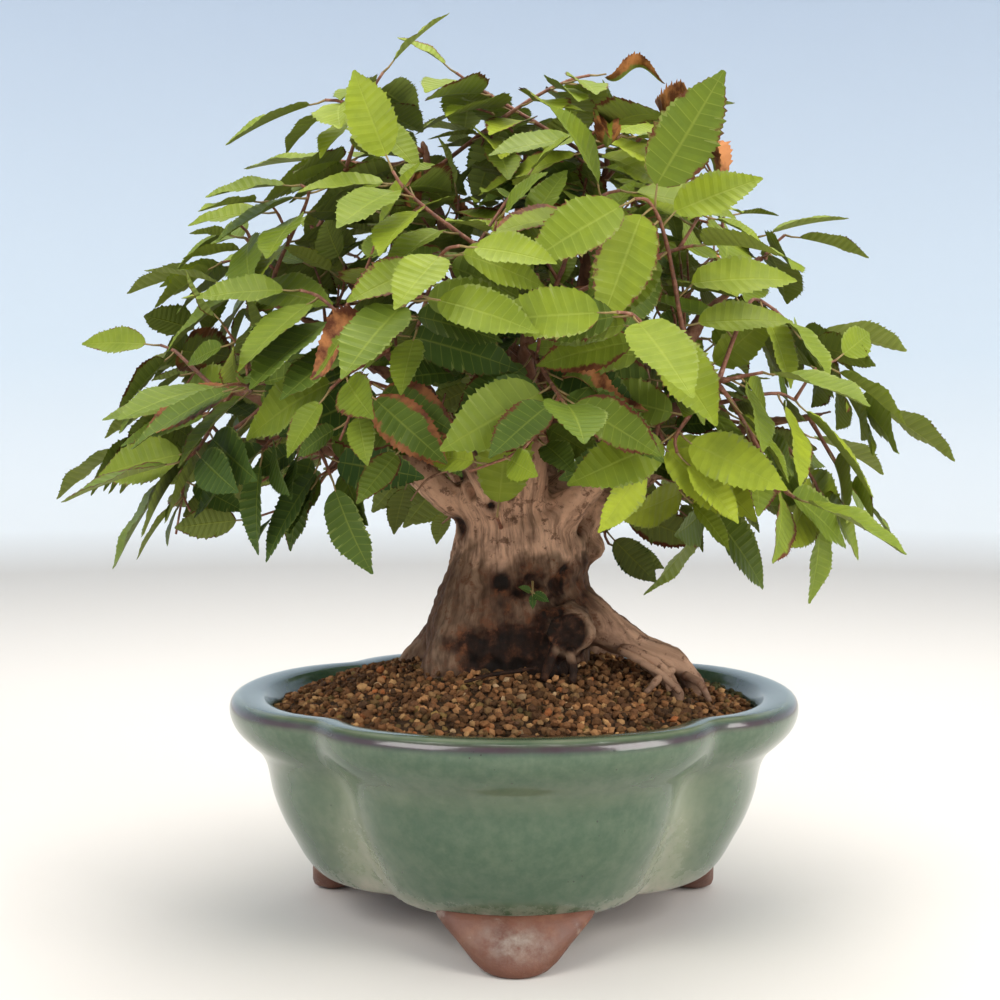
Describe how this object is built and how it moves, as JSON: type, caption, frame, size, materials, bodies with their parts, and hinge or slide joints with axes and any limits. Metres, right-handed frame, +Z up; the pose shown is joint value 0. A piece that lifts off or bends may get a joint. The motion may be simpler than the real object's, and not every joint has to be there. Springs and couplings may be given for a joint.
{
  "type": "bonsai",
  "caption": "Korean hornbeam bonsai with a thick flared trunk and a domed crown of toothed leaves, in a four-lobed glazed pot.",
  "frame": {"origin": "middle of the whole plant's footprint, at the table", "axes": "+Z up, -Y towards the tree's front with the root scar and the front foot"},
  "size_m": [0.2866, 0.2526, 0.2821],
  "materials": {
    "glaze": "glossy celadon green glaze, paler on edges, with bare red-brown clay feet",
    "screen_plastic": "matt black moulded mesh",
    "soil_grains": "matt brown and ochre baked clay grains",
    "bark": "rough pale grey-brown bark",
    "foliage": "satin green leaves with brown scorched margins on reddish twigs"
  },
  "bodies": {
    "root": {"drain_screen": "screen_plastic", "pot": "glaze", "soil": "soil_grains", "spray_00": "foliage", "spray_01": "foliage", "spray_02": "foliage", "spray_03": "foliage", "spray_04": "foliage", "spray_05": "foliage", "spray_06": "foliage", "spray_07": "foliage", "spray_08": "foliage", "spray_09": "foliage", "spray_10": "foliage", "spray_11": "foliage", "spray_12": "foliage", "spray_13": "foliage", "spray_14": "foliage", "spray_15": "foliage", "spray_16": "foliage", "spray_17": "foliage", "spray_18": "foliage", "spray_19": "foliage", "spray_20": "foliage", "spray_21": "foliage", "spray_22": "foliage", "spray_23": "foliage", "spray_24": "foliage", "spray_25": "foliage", "spray_26": "foliage", "spray_27": "foliage", "spray_28": "foliage", "spray_29": "foliage", "spray_30": "foliage", "spray_31": "foliage", "spray_32": "foliage", "spray_33": "foliage", "spray_34": "foliage", "spray_35": "foliage", "spray_36": "foliage", "spray_37": "foliage", "spray_38": "foliage", "spray_39": "foliage", "spray_40": "foliage", "spray_41": "foliage", "spray_42": "foliage", "spray_43": "foliage", "spray_44": "foliage", "spray_45": "foliage", "spray_46": "foliage", "spray_47": "foliage", "spray_48": "foliage", "spray_49": "foliage", "spray_50": "foliage", "spray_51": "foliage", "spray_52": "foliage", "spray_53": "foliage", "spray_54": "foliage", "spray_55": "foliage", "wood": "bark"}
  },
  "joints": []
}
